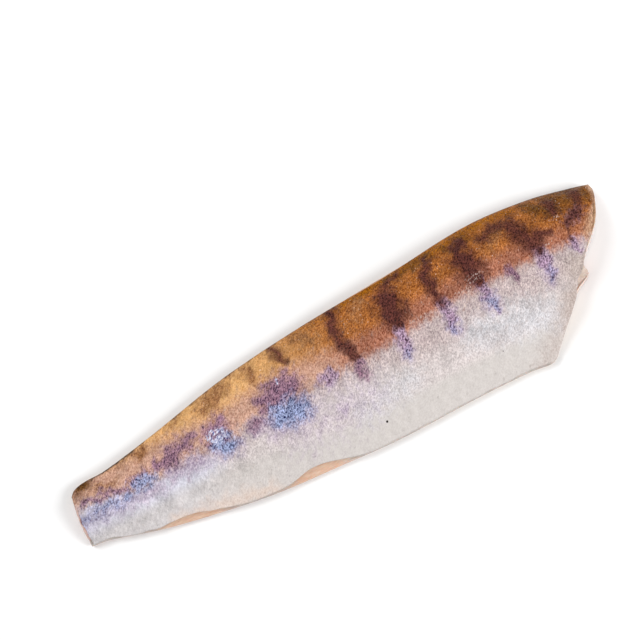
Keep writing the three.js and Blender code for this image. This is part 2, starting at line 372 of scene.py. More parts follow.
# Marks are strokes: how strong, then stations (x, y, radius), from the tail to the head.
DARK_BARS = [
    (0.95, [(-33, 31, 2.4), (-32, 26, 3.2), (-30, 21, 2.2)]),
    (1, [(4, 34.5, 2.6), (0, 26, 3.2), (-1, 17, 3.4), (1.5, 9, 3), (2.5, 5, 1.6)]),
    (0.85, [(45, 35.8, 1.4), (38, 33, 2.2), (32, 29, 3.6)]),
    (1.25, [(31.5, 26, 5), (30.8, 20, 7), (30, 15, 6), (29, 9, 2.4)]),
    (1, [(60, 34, 2.2), (57, 30, 3), (54.5, 25, 3.4), (54, 17, 3.2), (54.7, 9, 2.4)]),
    (1.2, [(79, 34.5, 2.6), (76.5, 29, 4.4), (75.5, 24, 6), (76.5, 18, 7), (76.5, 13, 4.6), (77, 9, 2)]),
    (0.85, [(91, 29.5, 3), (95, 32, 3.2), (102, 32, 3.6), (108, 30, 4.4)]),
    (0.98, [(107, 29, 4.6), (108.5, 22, 6.4), (111, 16, 6), (112.5, 10, 2.6)]),
    (0.95, [(111, 16.5, 4), (122, 16.5, 2.4)]), (0.95, [(131.5, 30, 3.4), (130.5, 24, 3)]),
    (0.9, [(134, 16.5, 2.4), (139.5, 18.5, 3.8), (144, 21, 3)]), (0.8, [(144, 22, 2.4), (147.5, 31, 2.8)]),
    (0.8, [(131.8, 14, 1.2), (130.5, 7.5, 1)]),
]
BROWN_MOTTLE = [
    (0.85, [(-79, 17.5, 4.6), (-73, 20.5, 6.4), (-66, 24, 4.6)]), (0.85, [(-50, 27, 3.2), (-49, 21, 3.6)]),
    (0.85, [(-119, 12, 3.2), (-116, 15, 3.8)]), (0.55, [(-99, 19, 2.4), (-92, 21, 3)]),
    (0.5, [(-137, 12, 2), (-122, 15, 2.4)]), (0.6, [(-150, 6, 3), (-137, 5.4, 4)]),
    (0.62, [(18, 31, 4), (13, 25, 3.8)]), (0.66, [(-21, 31, 3.2), (-14, 25, 3.4)]),
    (0.62, [(-62, 27, 2), (-54, 29, 2)]), (0.6, [(-10, 34, 2.4), (8, 35, 2.4)]),
    (0.55, [(92, 24, 5), (98, 29, 4)]),
]
UMBER_SHADE = [
    (0.62, [(36, 34.5, 3), (48, 34, 3)]), (0.7, [(53, 34, 4), (62, 35.5, 4)]),
    (0.7, [(72, 34, 4), (84, 35.5, 4)]), (0.6, [(92, 31, 4), (104, 32, 4)]),
    (0.95, [(121, 35, 4), (128, 28, 5)]), (0.98, [(134, 34, 4), (132, 25, 4)]),
    (0.95, [(143, 31, 4), (149, 26, 4)]),
]
PURPLE_MARKS = [
    (0.86, [(-153, 3, 2), (-142, 2, 2.2), (-132, 0.4, 2)]), (0.84, [(-127, 1, 3), (-119, 2, 3)]),
    (1, [(-112, 3, 3), (-106, 3.2, 4.6), (-101, 5, 4)]),
    (0.9, [(-100, 6, 3.8), (-94, 6.8, 3.8), (-89, 7.4, 2.6)]), (1.05, [(-81, 5, 4.4), (-75.5, 6.5, 5)]),
    (1.3, [(-81.5, 2, 3.4), (-76, 2.4, 3.6)]), (0.68, [(-60, -2, 3.2), (-53, -2, 3)]),
    (1.2, [(-49, 6, 5), (-42, 7, 7.6), (-36, 8, 7.4)]), (0.9, [(-37, 0, 4), (-34, -1, 3)]),
    (0.8, [(2, 1, 3), (2, -5, 3.6)]), (1.1, [(94, 8, 2.6), (95.4, 3, 2.2)]),
]
VIOLET_MARKS = [
    (0.5, [(136, 17, 3), (143, 20, 3)]), (0.85, [(-16.5, 2.5, 3.2), (-13, 2.8, 3.2)]),
    (0.8, [(-80, 1, 3), (-76, 1, 3.4)]), (1.1, [(28.8, 8, 2.4), (28.6, 1, 2.8)]),
    (0.8, [(28.4, 0, 2.4), (27.6, -5, 2.2)]), (1.05, [(55.2, 8, 2.6), (55, 0, 2.8), (54.8, -5, 2)]),
    (1.1, [(76.8, 10, 2.8), (77.6, 2.5, 2.8)]), (0.76, [(78.6, -5, 1.8), (79.2, -8, 1.4)]),
    (1.15, [(112.2, 10, 2.6), (112.6, 3, 3)]), (0.84, [(113, 1, 2.6), (113, -4, 2)]),
    (0.8, [(130.4, 6, 2.4), (131.6, 2, 2)]),
]
BLUE_MARKS = [
    (0.6, [(-157, -4, 3.6), (-146, -3.6, 3.8), (-131, -4.4, 3)]),
    (0.8, [(-126, -1.6, 3.8), (-119.5, -1, 3.6)]), (1.05, [(-79, -3, 3.8), (-75, -4.5, 4.6)]),
    (1.1, [(-46, -3.6, 4.8), (-40, -4, 6.6), (-36, -5, 6)]), (0.5, [(54.6, -3.6, 2.6), (54.4, -6, 2.4)]),
    (0.56, [(78, -1, 3), (78.6, -5, 2.6)]), (0.46, [(27.6, -5, 2.4), (27, -8, 2.2)]),
    (0.46, [(112.6, -2, 2.4), (111.6, -5, 2.2)]),
]
LILAC_HAZE = [
    (0.42, [(-40, -16, 12), (-2, -14, 12)]), (0.76, [(-162, -4, 5), (-131, -6, 5.4)]),
    (0.76, [(-128, -6, 5), (-117, -7, 5)]), (0.8, [(-108, -4, 5), (-90, -5, 5)]),
    (0.9, [(-80, -5, 5.2), (-73, -6, 5.2)]), (0.8, [(-60, -3.4, 4.4), (-52, -3, 4.4)]),
    (0.95, [(-48, -6, 7.4), (-36, -7, 8.4)]), (0.9, [(-15, 1, 4.4)]), (0.8, [(-15.5, -15, 4)]),
    (0.8, [(28.8, 5, 3.2), (27, -7, 3.8)]), (0.8, [(55, 5, 3.4), (54.5, -7, 3.6)]),
    (0.9, [(78, 2, 3.6), (78, -4, 4.2)]), (0.8, [(113, 6, 3.6), (112, -1, 3.8), (110.6, -7, 3.4)]),
    (0.7, [(131, 4, 3.6)]),
]
# Where the thin skin of the belly lets the flesh show through.
BLUSH = [(0.64, [(-116, -25, 3), (-98, -28.4, 4), (-80, -31.4, 4), (-64, -34, 3)])]
ICE_HAZE = [
    (0.66, [(62, -12, 8), (86, -16, 11), (100, -20, 9)]), (0.55, [(-6, -22, 7), (22, -18, 7)]),
]
WHITE_GLINTS = [
    (0.62, [(-83, 3.4, 1.6), (-80.6, 0, 2)]), (0.6, [(-80.6, 5.4, 1.4), (-78.4, 3.4, 1.6)]),
    (0.6, [(-76.8, 5, 1.4), (-74.6, 3, 1.6)]), (0.64, [(-78.6, 0.8, 1.8), (-74.4, 0.4, 1.8)]),
    (0.72, [(-38.6, 14.4, 0.8), (-39.4, 11.6, 0.6)]),
]
# Short pale scratches, and painted glints among them, too thin to hide what lies beneath.
SCRATCHES_AND_GLINTS = [
    (0.36, [(72, 13.4, 1.1), (80.5, 14, 1.1)]), (0.34, [(70, 11, 0.9), (78, 11.6, 0.9)]),
    (0.5, [(62.5, 0.6, 0.8), (67, 4, 0.8), (70.6, 8, 0.8)]), (0.42, [(35, 7.6, 0.9), (48, 7.4, 0.9)]),
    (0.46, [(63, 9, 0.8), (71.6, 9.4, 0.8)]), (0.5, [(117, 10.6, 0.9), (119, 10.8, 0.9)]),
    (0.36, [(126, 21.4, 0.8), (132.6, 21, 0.8)]),
]
BLACK_SPECKS = [
    (1, [(2, -30.5, 0.65)]), (0.75, [(72, -26, 0.6)]), (0.7, [(121, -0.6, 0.5), (122.4, -2, 0.5)]),
    (0.7, [(117, -10, 0.6)]),
]


# How a mark fades: its depth falls with this power of the way out. How far its outline strays: (mm, pitch).
MARK_FALL = 1.25
MARK_STRAY = [(1.0, 9), (0.5, 4)]

# Where the pigments and painted highlights that aren't strokes lie, each as (where its share is 0, where it
# is 1), in millimetres:
# in x, in y, above or below the limit of the back, inward from the back edge, or behind the head cut. Pairs
# named share, start, full or reach hold the values at the tail and at the head.
TAIL_PART = (22, -35)  # x
HEAD_PART = (0, 45)  # x
LIMIT_CHANGE = (0, 30)  # x, where its softness goes from the tail's to the head's
TAN_X = (35, -85)
SALMON = {"above": (19, 4), "lost": 0.35, "lost_x": (116, 134)}
MAUVE_ABOVE = (25, 5)
GOLD = {"inward": (10, 2), "tail_x": (-60, 40), "head_x": (126, 104)}
TAIL_UMBER = {"place": -151, "half_width": 7, "inward": (8, 2), "share": 0.95}
HEAD_UMBER = {"x": (102, 140), "y": (12, 30), "share": 0.75}
PEACH = {"reach": (15, 6), "reach_y": (12, 22), "full": 1, "y": (0, 8), "share": 1.1}
PEARL = {"start": (-3, 4), "full": (16, 28)}  # below
COOL = {"x": (-62, -105), "below": (0, 6), "lost": 0.4, "lost_below": (8, 18)}
BELLY = {"start": (6, 19), "start_x": (-115, 10), "fade": 11, "share": (0.6, 1), "share_x": (-110, 10)}
CREAM_FLAP = {"place": 88, "half_width": 26, "y": (-26, -36), "share": 0.1}
CREAM_CUT = {"behind": (26, 3), "y": (6, -1), "low_share": 0.5, "low_y": (-36, -24), "share": 0.85}
DARK_FLECKS = {"base": -0.1, "above": (-2, 4), "share": (-0.2, -0.04)}
# Painted highlights: pale sparkles strewn over the back and the flank, a few more towards the head and fewer
# on the belly.
SPARKLE_HIGHLIGHTS = {"base": -0.08, "head": 0.03, "belly": -0.2, "belly_y": (-22, -30)}
RIM = {"inward": (2, 0.2), "base": 0.5, "head": 0.3, "head_x": (108, 125)}
TAIL_RIM = {"place": -130, "half_width": 15, "share": 0.6}
STRAYING_MARKS = {
    "mottle": BROWN_MOTTLE, "ice": ICE_HAZE, "blush": BLUSH, "lilac": LILAC_HAZE,
    "purple": PURPLE_MARKS, "violet": VIOLET_MARKS, "blue": BLUE_MARKS, "bar": DARK_BARS,
}
FIXED_MARKS = {"scratch_and_glint": SCRATCHES_AND_GLINTS, "glint": WHITE_GLINTS, "speck": BLACK_SPECKS}


def stray(x, y, seed):
    """How far the marks are pushed at each point: ripples of two pitches, so that no outline looks drawn."""
    return sum(reach * ripple(x, y, pitch, seed + pitch) for reach, pitch in MARK_STRAY)


def strokes(x, y, marks):
    """How deep in a mark each point lies: its strength on its line, half that a radius away, then less."""
    depth = np.full(x.shape, -1.0)
    for strength, stations in marks:
        stations = stations if len(stations) > 1 else stations * 2
        for (x0, y0, r0), (x1, y1, r1) in zip(stations, stations[1:]):
            dx, dy = x1 - x0, y1 - y0
            along = np.clip(((x - x0) * dx + (y - y0) * dy) / max(dx * dx + dy * dy, 1e-9), 0, 1)
            away = np.hypot(x - x0 - dx * along, y - y0 - dy * along)
            depth = np.maximum(depth, strength * (1 - 0.5 * (away / lerp(r0, r1, along)) ** MARK_FALL))
    return depth


def skin_fields(x, y, t):
    """The share of each pigment and painted highlight at each point, by its attribute's name: 0.5 where its
    edge lies.
    """
    tailwards, headwards = ramp(x, TAIL_PART), ramp(x, HEAD_PART)
    limit = through(BACK_LIMIT)(x)
    above, below = y - limit, limit - y
    inward = back_edge(x) - y
    behind = ground(1.0, t)[0] - x

    softness = lerp(*BACK_LIMIT_SOFTNESS, ramp(x, LIMIT_CHANGE))
    salmon_kept = 1 - SALMON["lost"] * ramp(x, SALMON["lost_x"])
    gold = ramp(inward, GOLD["inward"]) * ramp(x, GOLD["tail_x"]) * ramp(x, GOLD["head_x"])
    tail_umber = TAIL_UMBER["share"] * bell_of(x, TAIL_UMBER) * ramp(inward, TAIL_UMBER["inward"])
    head_umber = HEAD_UMBER["share"] * ramp(x, HEAD_UMBER["x"]) * ramp(y, HEAD_UMBER["y"])
    peach_reach = lerp(*PEACH["reach"], ramp(y, PEACH["reach_y"]))
    peach = PEACH["share"] * smoothstep(behind, peach_reach, PEACH["full"]) * ramp(y, PEACH["y"])
    cool_kept = 1 - COOL["lost"] * ramp(below, COOL["lost_below"])
    belly_start = lerp(*BELLY["start"], ramp(x, BELLY["start_x"]))
    belly_share = lerp(*BELLY["share"], ramp(x, BELLY["share_x"]))
    cream_flap = CREAM_FLAP["share"] * bell_of(x, CREAM_FLAP) * ramp(y, CREAM_FLAP["y"])
    cream_cut = CREAM_CUT["share"] * ramp(behind, CREAM_CUT["behind"]) * ramp(y, CREAM_CUT["y"])
    cream_cut *= lerp(CREAM_CUT["low_share"], 1, ramp(y, CREAM_CUT["low_y"]))
    flecked = lerp(*DARK_FLECKS["share"], headwards) * ramp(above, DARK_FLECKS["above"])
    belly_sparkle = SPARKLE_HIGHLIGHTS["belly"] * ramp(y, SPARKLE_HIGHLIGHTS["belly_y"])
    rim = RIM["base"] + TAIL_RIM["share"] * bell_of(x, TAIL_RIM) + RIM["head"] * ramp(x, RIM["head_x"])

    wild_x, wild_y = x + stray(x, y, seed=20), y + stray(x, y, seed=40)
    umber_marks = strokes(wild_x, wild_y, UMBER_SHADE)
    fields = {
        "tan": ramp(x, TAN_X),
        "salmon": salmon_kept * ramp(above, SALMON["above"]),
        "mauve": tailwards * ramp(above, MAUVE_ABOVE),
        "gold": gold,
        "umber": np.maximum(np.maximum(head_umber, tail_umber), umber_marks),
        "peach": peach,
        "silver": 0.5 + 0.5 * below / softness,
        "pearl": smoothstep(below, lerp(*PEARL["start"], headwards), lerp(*PEARL["full"], headwards)),
        "cool": ramp(x, COOL["x"]) * ramp(below, COOL["below"]) * cool_kept,
        "belly": smoothstep(-y - belly_start, 0, BELLY["fade"]) * belly_share,
        "cream": cream_flap + cream_cut,
        "dark_fleck": DARK_FLECKS["base"] + flecked,
        # painted highlights: pale sparkles
        "sparkle_highlight": SPARKLE_HIGHLIGHTS["base"] + SPARKLE_HIGHLIGHTS["head"] * headwards + belly_sparkle,
        "rim": rim * ramp(inward, RIM["inward"]),
    }
    for name, marks in STRAYING_MARKS.items():
        fields[name] = strokes(wild_x, wild_y, marks)
    for name, marks in FIXED_MARKS.items():
        fields[name] = strokes(x, y, marks)
    return fields


# ---- the skin

GRAIN_TURN = math.radians(60)  # the way that the scraper left the grain, from +X
SCALE_PITCH = (3.9, 4.0)  # along the fillet, and across it to the next row of the same kind
SCALE_DEPTH = 0.3
WRINKLE_DEPTH = 0.08
WRINKLE_PITCH = 2.1
WRINKLE_STRETCH = 1.6  # how much longer than wide the wrinkles are
DIMPLE_DEPTH = 0.2
DIMPLE_PITCH = 9
PATCH_PITCH = 24  # of the patches in which the relief is weaker, and the least share of it there
PATCH_RELIEF = 0.6
BELLY_RELIEF = 0.05  # the share of it that is left on the belly
BELLY_RELIEF_Y = (-30, -14)
POCKET_BEND = [(0.6, 19, 3), (0.5, 11, 4)]  # (mm, pitch, seed) of the rows' bend, along and across
SKIN_EDGE_WANDER = 0.25
WANDER_PITCH = (7, 13)  # along a cut and along an edge
WANDER_REACH = (5, 3)  # how far in from a cut and from an edge it is felt
STEEP_BACK = 0.08  # share of it at the back, where the side is so steep that it shows as much more
SKIN_EDGE_LEFT = (0.0004, 0.001)  # what is left at least beside the skin, in s and in t
SIDE_HEIGHTS = (0.85, 0.5, 0.15)  # shares of the skin's thickness at which the rings lie down its side
SKIN_CLING = 0.1  # how deep the skin's under side lies in the flesh, so that no gap shows at its edges
EDGE_SOFTENING = 1.6  # how far in from the skin's edge its relief starts


def scale_pockets(along, across):
    """Depth, 0 to 1, of the pockets that the scales leave, on a lattice of squares standing on their corners.

    Each pocket is deepest at its corner towards the head and rises evenly to the two edges towards the tail.
    """
    bend = [reach * ripple(along, across, pitch, seed) for reach, pitch, seed in POCKET_BEND]
    a = (along + bend[0]) / SCALE_PITCH[0]
    b = (across + bend[1]) / SCALE_PITCH[1]
    first, second = np.mod(a + b, 1), np.mod(a - b, 1)
    return np.sqrt((first * first + second * second) / 2)


def make_skin():
    """Upper side: the flesh's, moved out by seam, thickness and relief. Under side: just in the flesh."""
    columns, rows = SKIN_CELLS
    u, v = np.meshgrid(np.linspace(0, 1, columns + 1), np.linspace(0, 1, rows + 1), indexing="ij")
    s, t = skin_shares(u, v)
    base = flesh_point(s, t, 1.0)
    x, y = base[..., 0], base[..., 1]
    length = np.ptp(x)
    width = back_edge(x) - belly_edge(x)
    near_cut, near_edge = np.minimum(u, 1 - u) * length, np.minimum(v, 1 - v) * width
    cut_wander = SKIN_EDGE_WANDER * (ripple(y, 0 * y, WANDER_PITCH[0], seed=5) - 0.5)
    edge_wander = SKIN_EDGE_WANDER * (ripple(x, 0 * x, WANDER_PITCH[1], seed=6, spread=0.6) - 0.5)
    edge_wander *= lerp(1, STEEP_BACK, v)
    s = s + (1 - 2 * u) * cut_wander * bell(near_cut, 0, WANDER_REACH[0]) / length
    t = t + (1 - 2 * v) * edge_wander * bell(near_edge, 0, WANDER_REACH[1]) / width
    s = np.clip(s, SKIN_EDGE_LEFT[0], 1 - SKIN_EDGE_LEFT[0])
    t = np.clip(t, SKIN_EDGE_LEFT[1], 1 - SKIN_EDGE_LEFT[1])
    base = flesh_point(s, t, 1.0)
    out = outward(s, t)
    x, y = base[..., 0], base[..., 1]

    steps = np.linalg.norm(np.diff(base, axis=1), axis=-1)
    across = np.concatenate([np.zeros((columns + 1, 1)), np.cumsum(steps, axis=1)], axis=1)
    across = across - across[:, rows // 2, None]
    with_grain = x * math.cos(GRAIN_TURN) + across * math.sin(GRAIN_TURN)
    cross_grain = across * math.cos(GRAIN_TURN) - x * math.sin(GRAIN_TURN)
    wrinkle = ripple(with_grain / WRINKLE_STRETCH, cross_grain, WRINKLE_PITCH, seed=8, spread=0.45)
    patches = 0.5 + 0.5 * ripple(x, across, PATCH_PITCH, seed=7)
    strength = lerp(BELLY_RELIEF, 1, ramp(y, BELLY_RELIEF_Y)) * lerp(PATCH_RELIEF, 1, patches)
    pocket = scale_pockets(x, across)
    relief = strength * (WRINKLE_DEPTH * wrinkle - SCALE_DEPTH * (1 - pocket))
    relief += DIMPLE_DEPTH * ripple(x, across, DIMPLE_PITCH, seed=9, spread=0.5)
    relief *= smoothstep(np.minimum(near_cut, near_edge), 0, EDGE_SOFTENING)
    top = base + out * (SEAM + SKIN_THICKNESS + relief)[..., None]

    i, j = ring(columns, rows)
    belts = [base[i, j] + out[i, j] * (SEAM + SKIN_THICKNESS * height) for height in SIDE_HEIGHTS]
    coarse = slice(None, None, SKIN_UNDER_CELLS)
    under = (base - out * SKIN_CLING)[coarse, coarse]
    fields = skin_fields(x, y, t)
    # crest and pocket go into the colour as painted light on the wrinkles' crests and painted shade in the
    # scale pockets.
    fields["crest"] = 0.5 + 0.5 * strength * wrinkle
    fields["rough"] = strength
    fields["pocket"] = 1 - strength * (1 - pocket)
    attributes = {}
    for name, values in fields.items():
        values = np.broadcast_to(values, x.shape)
        parts = [values.ravel(), *[values[i, j]] * len(belts), values[coarse, coarse].ravel()]
        attributes[name] = np.concatenate(parts)
    return closed_sheet("skin_scraped", top, belts, under, attributes)


# ---- the flesh

MUSCLE_PITCH = 7.8  # from one sheet between two muscles to the next, along the fillet
MUSCLE_BEND = (16, 9)  # how far those sheets run back at the edges and how far they come forward between
MUSCLE_GROOVE = 0.2
CUT_RING_PITCH = 3.6
CUT_RING_DEPTH = 0.16
CUT_RING_MIDDLES = [(0.74, 0.42), (0.24, 0.45)]  # (t, w) of the loin's rings and of the belly's
CUT_RING_FLATNESS = 1.5  # how much wider than high the rings are
CUT_RING_FADE = 0.1  # w, from the top and from underneath
UNDER_HOLLOWS = {"depth": 0.25, "pitch": 15}  # soft hollows between the grooves of the cut side
UNDER_RELIEF_START = 4  # how far in from the rim that relief is whole

# Where the colours of the flesh lie, as for the skin; s, t and w are shares, the rest is in millimetres.
AT_HEAD_S = (0.955, 0.99)
UNDERNEATH_W = (0.7, 0.3)
NEAR_SKIN = (2.6, 0.6)  # below the skin
NEAR_BELLY_T = (0.16, 0.04)
LOIN = {"t": (0.49, 0.56), "back_t": (0.99, 0.86), "x": (-70, 30)}
TAIL_FLESH = {"x": (-10, -110), "share": 0.95}
FLAP = {"t": (0.46, 0.12), "x": (-40, 60)}
# The line along the backbone's groove: its half widths are towards the back and towards the belly.
LINE = {"half_widths": (0.04, 0.11), "share": 0.45, "head": 0.45, "head_x": (-60, 40)}
TAIL_LINE = {"share": 0.4, "x": (-140, -158)}
LINE_CORE = {"share": 0.42, "tail": 0.5, "place": -158, "half_width": 8}
WEDGE = {"place": 0.49, "half_width": 0.05, "w": (0.5, 0.95), "tail_s": (0.03, 0.01)}
BACK_RIM = {"t": (0.84, 0.98), "x": (90, 20), "lost": 0.4}
BELLY_RIM = {"grey_lost": 0.6, "peach": 1.2, "spread": 1.2}
LOIN_CUT_T = (0.5, 0.6)
TAG_SPREAD = 1.6
SHEET = {"thinness": 6, "share": (0.1, 0.24), "turns": 1.7, "drift": 90}

HAIR_VEINS = [
    (1, [(-24, 27, 0.5), (-21, 24.5, 0.45), (-22, 22, 0.4)]),
    (0.9, [(-12, 29, 0.5), (-9, 25, 0.4), (-5, 24, 0.4)]),
    (0.95, [(4, 31, 0.5), (8, 28.5, 0.45), (7, 25, 0.4)]),
    (0.9, [(20, 33, 0.5), (22, 29, 0.45), (27, 27.5, 0.4)]),
    (0.9, [(34, 34, 0.45), (37, 31, 0.4), (36, 28.5, 0.4)]), (0.9, [(70, 36, 0.5), (73, 34.5, 0.4)]),
    (0.9, [(96, 31, 0.5), (99, 30, 0.4)]), (0.8, [(-60, 18, 0.5), (-57, 17, 0.4)]),
]
FLESH_SPECKS = [
    (1, [(64, 7.5, 0.8)]), (1, [(24, -17, 0.6)]), (0.9, [(78, -20, 0.7)]), (0.9, [(16, 14, 0.7)]),
    (0.8, [(-34, -14, 0.6), (-32, -14.6, 0.5)]), (0.8, [(-70, -6, 0.6)]),
]


def wrapped(phase):
    """How near each point is to a whole number of steps: a cosine, 1 there and 0 halfway between."""
    return 0.5 + 0.5 * np.cos(math.tau * phase)


def flesh_fields(x, y, s, t, w):
    """The share of each colour of the flesh at each point, as for the skin."""
    underneath = ramp(w, UNDERNEATH_W)
    near_skin = ramp((1 - w) * (flesh_top(s, t) - flesh_bottom(s, t)), NEAR_SKIN)
    at_head = ramp(s, AT_HEAD_S)
    line = bell(t, BONE_GROOVE["place"], np.where(t > BONE_GROOVE["place"], *LINE["half_widths"]))
    tail_line = TAIL_LINE["share"] * ramp(x, TAIL_LINE["x"])
    line = line * (LINE["share"] + LINE["head"] * ramp(x, LINE["head_x"]) + tail_line) * underneath
    belly_rim = near_skin * ramp(t, NEAR_BELLY_T)
    bare = sum(bell(x, part["place"], part["half_width"] * BELLY_RIM["spread"]) for part in BARE_BELLY)
    at_cuts = np.maximum(at_head, ramp(s, WEDGE["tail_s"]))
    forward = lerp(*MUSCLE_BEND, wrapped(2 * t))
    muscle = np.clip(1 - SHEET["thinness"] * (1 - wrapped((x + forward) / MUSCLE_PITCH)), 0, 1)
    sheet_share = lerp(*SHEET["share"], wrapped(t * SHEET["turns"] + x / SHEET["drift"]))
    return {
        "loin": ramp(t, LOIN["t"]) * ramp(t, LOIN["back_t"]) * ramp(x, LOIN["x"]),
        "tail": TAIL_FLESH["share"] * ramp(x, TAIL_FLESH["x"]),
        "flap": ramp(t, FLAP["t"]) * ramp(x, FLAP["x"]),
        "line": line,
        "line_core": line * (LINE_CORE["share"] + LINE_CORE["tail"] * bell_of(x, LINE_CORE)),
        "wedge": bell_of(t, WEDGE) * ramp(w, WEDGE["w"]) * at_cuts,
        "back_rim": ramp(t, BACK_RIM["t"]) * ramp(x, BACK_RIM["x"]) * (1 - BACK_RIM["lost"] * near_skin),
        "grey_edge": belly_rim * (1 - BELLY_RIM["grey_lost"] * bare),
        "peach_edge": BELLY_RIM["peach"] * belly_rim * bare,
        "loin_cut": at_head * ramp(t, LOIN_CUT_T) * near_skin,
        "tag": at_head * bell(t, TAG["place"], TAG["half_width"] * TAG_SPREAD) * near_skin,
        "sheet": muscle * sheet_share * underneath,
        "vein": strokes(x, y, HAIR_VEINS) * underneath,
        "speck": strokes(x, y, FLESH_SPECKS) * underneath,
    }


def cut_rings(s, t, w):
    """Relief of the two cut ends: the rings of the muscles, cut across, round two middles."""
    width = back_edge(ground(s, 1.0)[0]) - belly_edge(ground(s, 0.0)[0])
    height = CUT_RING_FLATNESS * flesh_top(s, t)
    away = [np.hypot((t - t0) * width, (w - w0) * height) for t0, w0 in CUT_RING_MIDDLES]
    return wrapped(np.minimum(*away) / CUT_RING_PITCH)


def make_flesh():
    """The box of shares: an upper and a lower grid and the walls between them."""
    columns, rows = FLESH_CELLS
    s, t = np.meshgrid(np.linspace(0, 1, columns + 1), np.linspace(0, 1, rows + 1), indexing="ij")
    i, j = ring(columns, rows)
    heights = np.linspace(1, 0, FLESH_WALL_ROWS + 1)[1:-1]
    top = flesh_point(s, t, 1.0)
    bottom = flesh_point(s, t, 0.0)
    belts = [flesh_point(s[i, j], t[i, j], w) for w in heights]

    parts = [(s, t, np.ones(s.shape), top)]
    parts += [(s[i, j], t[i, j], np.full(len(i), w), belt) for w, belt in zip(heights, belts)]
    parts += [(s, t, np.zeros(s.shape), bottom)]
    all_fields = []
    for part_s, part_t, part_w, points in parts:
        x, y = points[..., 0], points[..., 1]
        fields = flesh_fields(x, y, part_s, part_t, part_w)
        at_cut = (part_s == 0) | (part_s == 1)
        rings = cut_rings(part_s, part_t, part_w) * at_cut
        fields["ring"] = rings
        inside_w = smoothstep(np.minimum(part_w, 1 - part_w), 0, CUT_RING_FADE)
        points[..., 0] += CUT_RING_DEPTH * (rings - 0.5) * inside_w * np.where(part_s == 1, -1, 1) * at_cut
        all_fields.append({name: np.broadcast_to(values, x.shape).ravel() for name, values in fields.items()})

    x, y = bottom[..., 0], bottom[..., 1]
    width = back_edge(x) - belly_edge(x)
    from_rim = np.minimum(np.minimum(s, 1 - s) * np.ptp(x), np.minimum(t, 1 - t) * width)
    hollows = np.maximum(0.5 + 0.5 * ripple(x, y, UNDER_HOLLOWS["pitch"], seed=12), 0)
    grooves = all_fields[-1]["sheet"].reshape(s.shape)
    relief = MUSCLE_GROOVE * grooves + UNDER_HOLLOWS["depth"] * hollows
    bottom[..., 2] += relief * smoothstep(from_rim, 0, UNDER_RELIEF_START)
    attributes = {name: np.concatenate([fields[name] for fields in all_fields]) for name in all_fields[0]}
    return closed_sheet("flesh_muscle", top, belts, bottom, attributes)


# ---- materials


def linear(hex_colour):
    """An sRGB colour such as "#d2c8ca" as linear red, green, blue and alpha."""
    parts = [int(hex_colour[k : k + 2], 16) / 255 for k in (1, 3, 5)]
    return [c / 12.92 if c <= 0.04045 else ((c + 0.055) / 1.055) ** 2.4 for c in parts] + [1.0]


def add_node(tree, kind, inputs=None, output=0, **settings):
    """Adds one shader node, its inputs values or links from other nodes, and returns one of its outputs."""
    made = tree.nodes.new("ShaderNode" + kind)
    for name, value in settings.items():
        setattr(made, name, value)
    for key, value in (inputs or {}).items():
        if isinstance(value, bpy.types.NodeSocket):
            tree.links.new(value, made.inputs[key])
        else:
            made.inputs[key].default_value = value
    return made.outputs[output]


def new_material(name, **finish):
    """A new material of one Principled shader with this finish, its node tree and its shader."""
    material = bpy.data.materials.new(name)
    material.use_nodes = True
    shader = material.node_tree.nodes["Principled BSDF"]
    for socket, value in finish.items():
        shader.inputs[socket.replace("_", " ")].default_value = value
    return material, material.node_tree, shader


GRAIN_STRETCH = 1.5

# Sizes of the patterns in the skin and in the flesh, in millimetres
CELL_SIZE, FLECK_SIZE, SPECKLE_SIZE, CREASE_SIZE, DRIFT_SIZE = 3.0, 0.8, 0.72, 1.2, 8
CLOUD_SIZE, FIBRE_SIZE = 9, 1.2
FIBRE_STRETCH = 4  # along the fillet
SKIN_BUMP, FLESH_BUMP = 0.24, 0.15
NOISE_SPAN = {"From Min": 0.3, "From Max": 0.7}  # nearly all values of a noise lie between these
DRIFT_STRENGTH = 0.9  # how much lighter and darker the skin gets in soft patches

# The mix node has a socket of each kind under one name, so its colours go by number.
COLOUR_A, COLOUR_B, COLOUR_OUT = 6, 7, 2
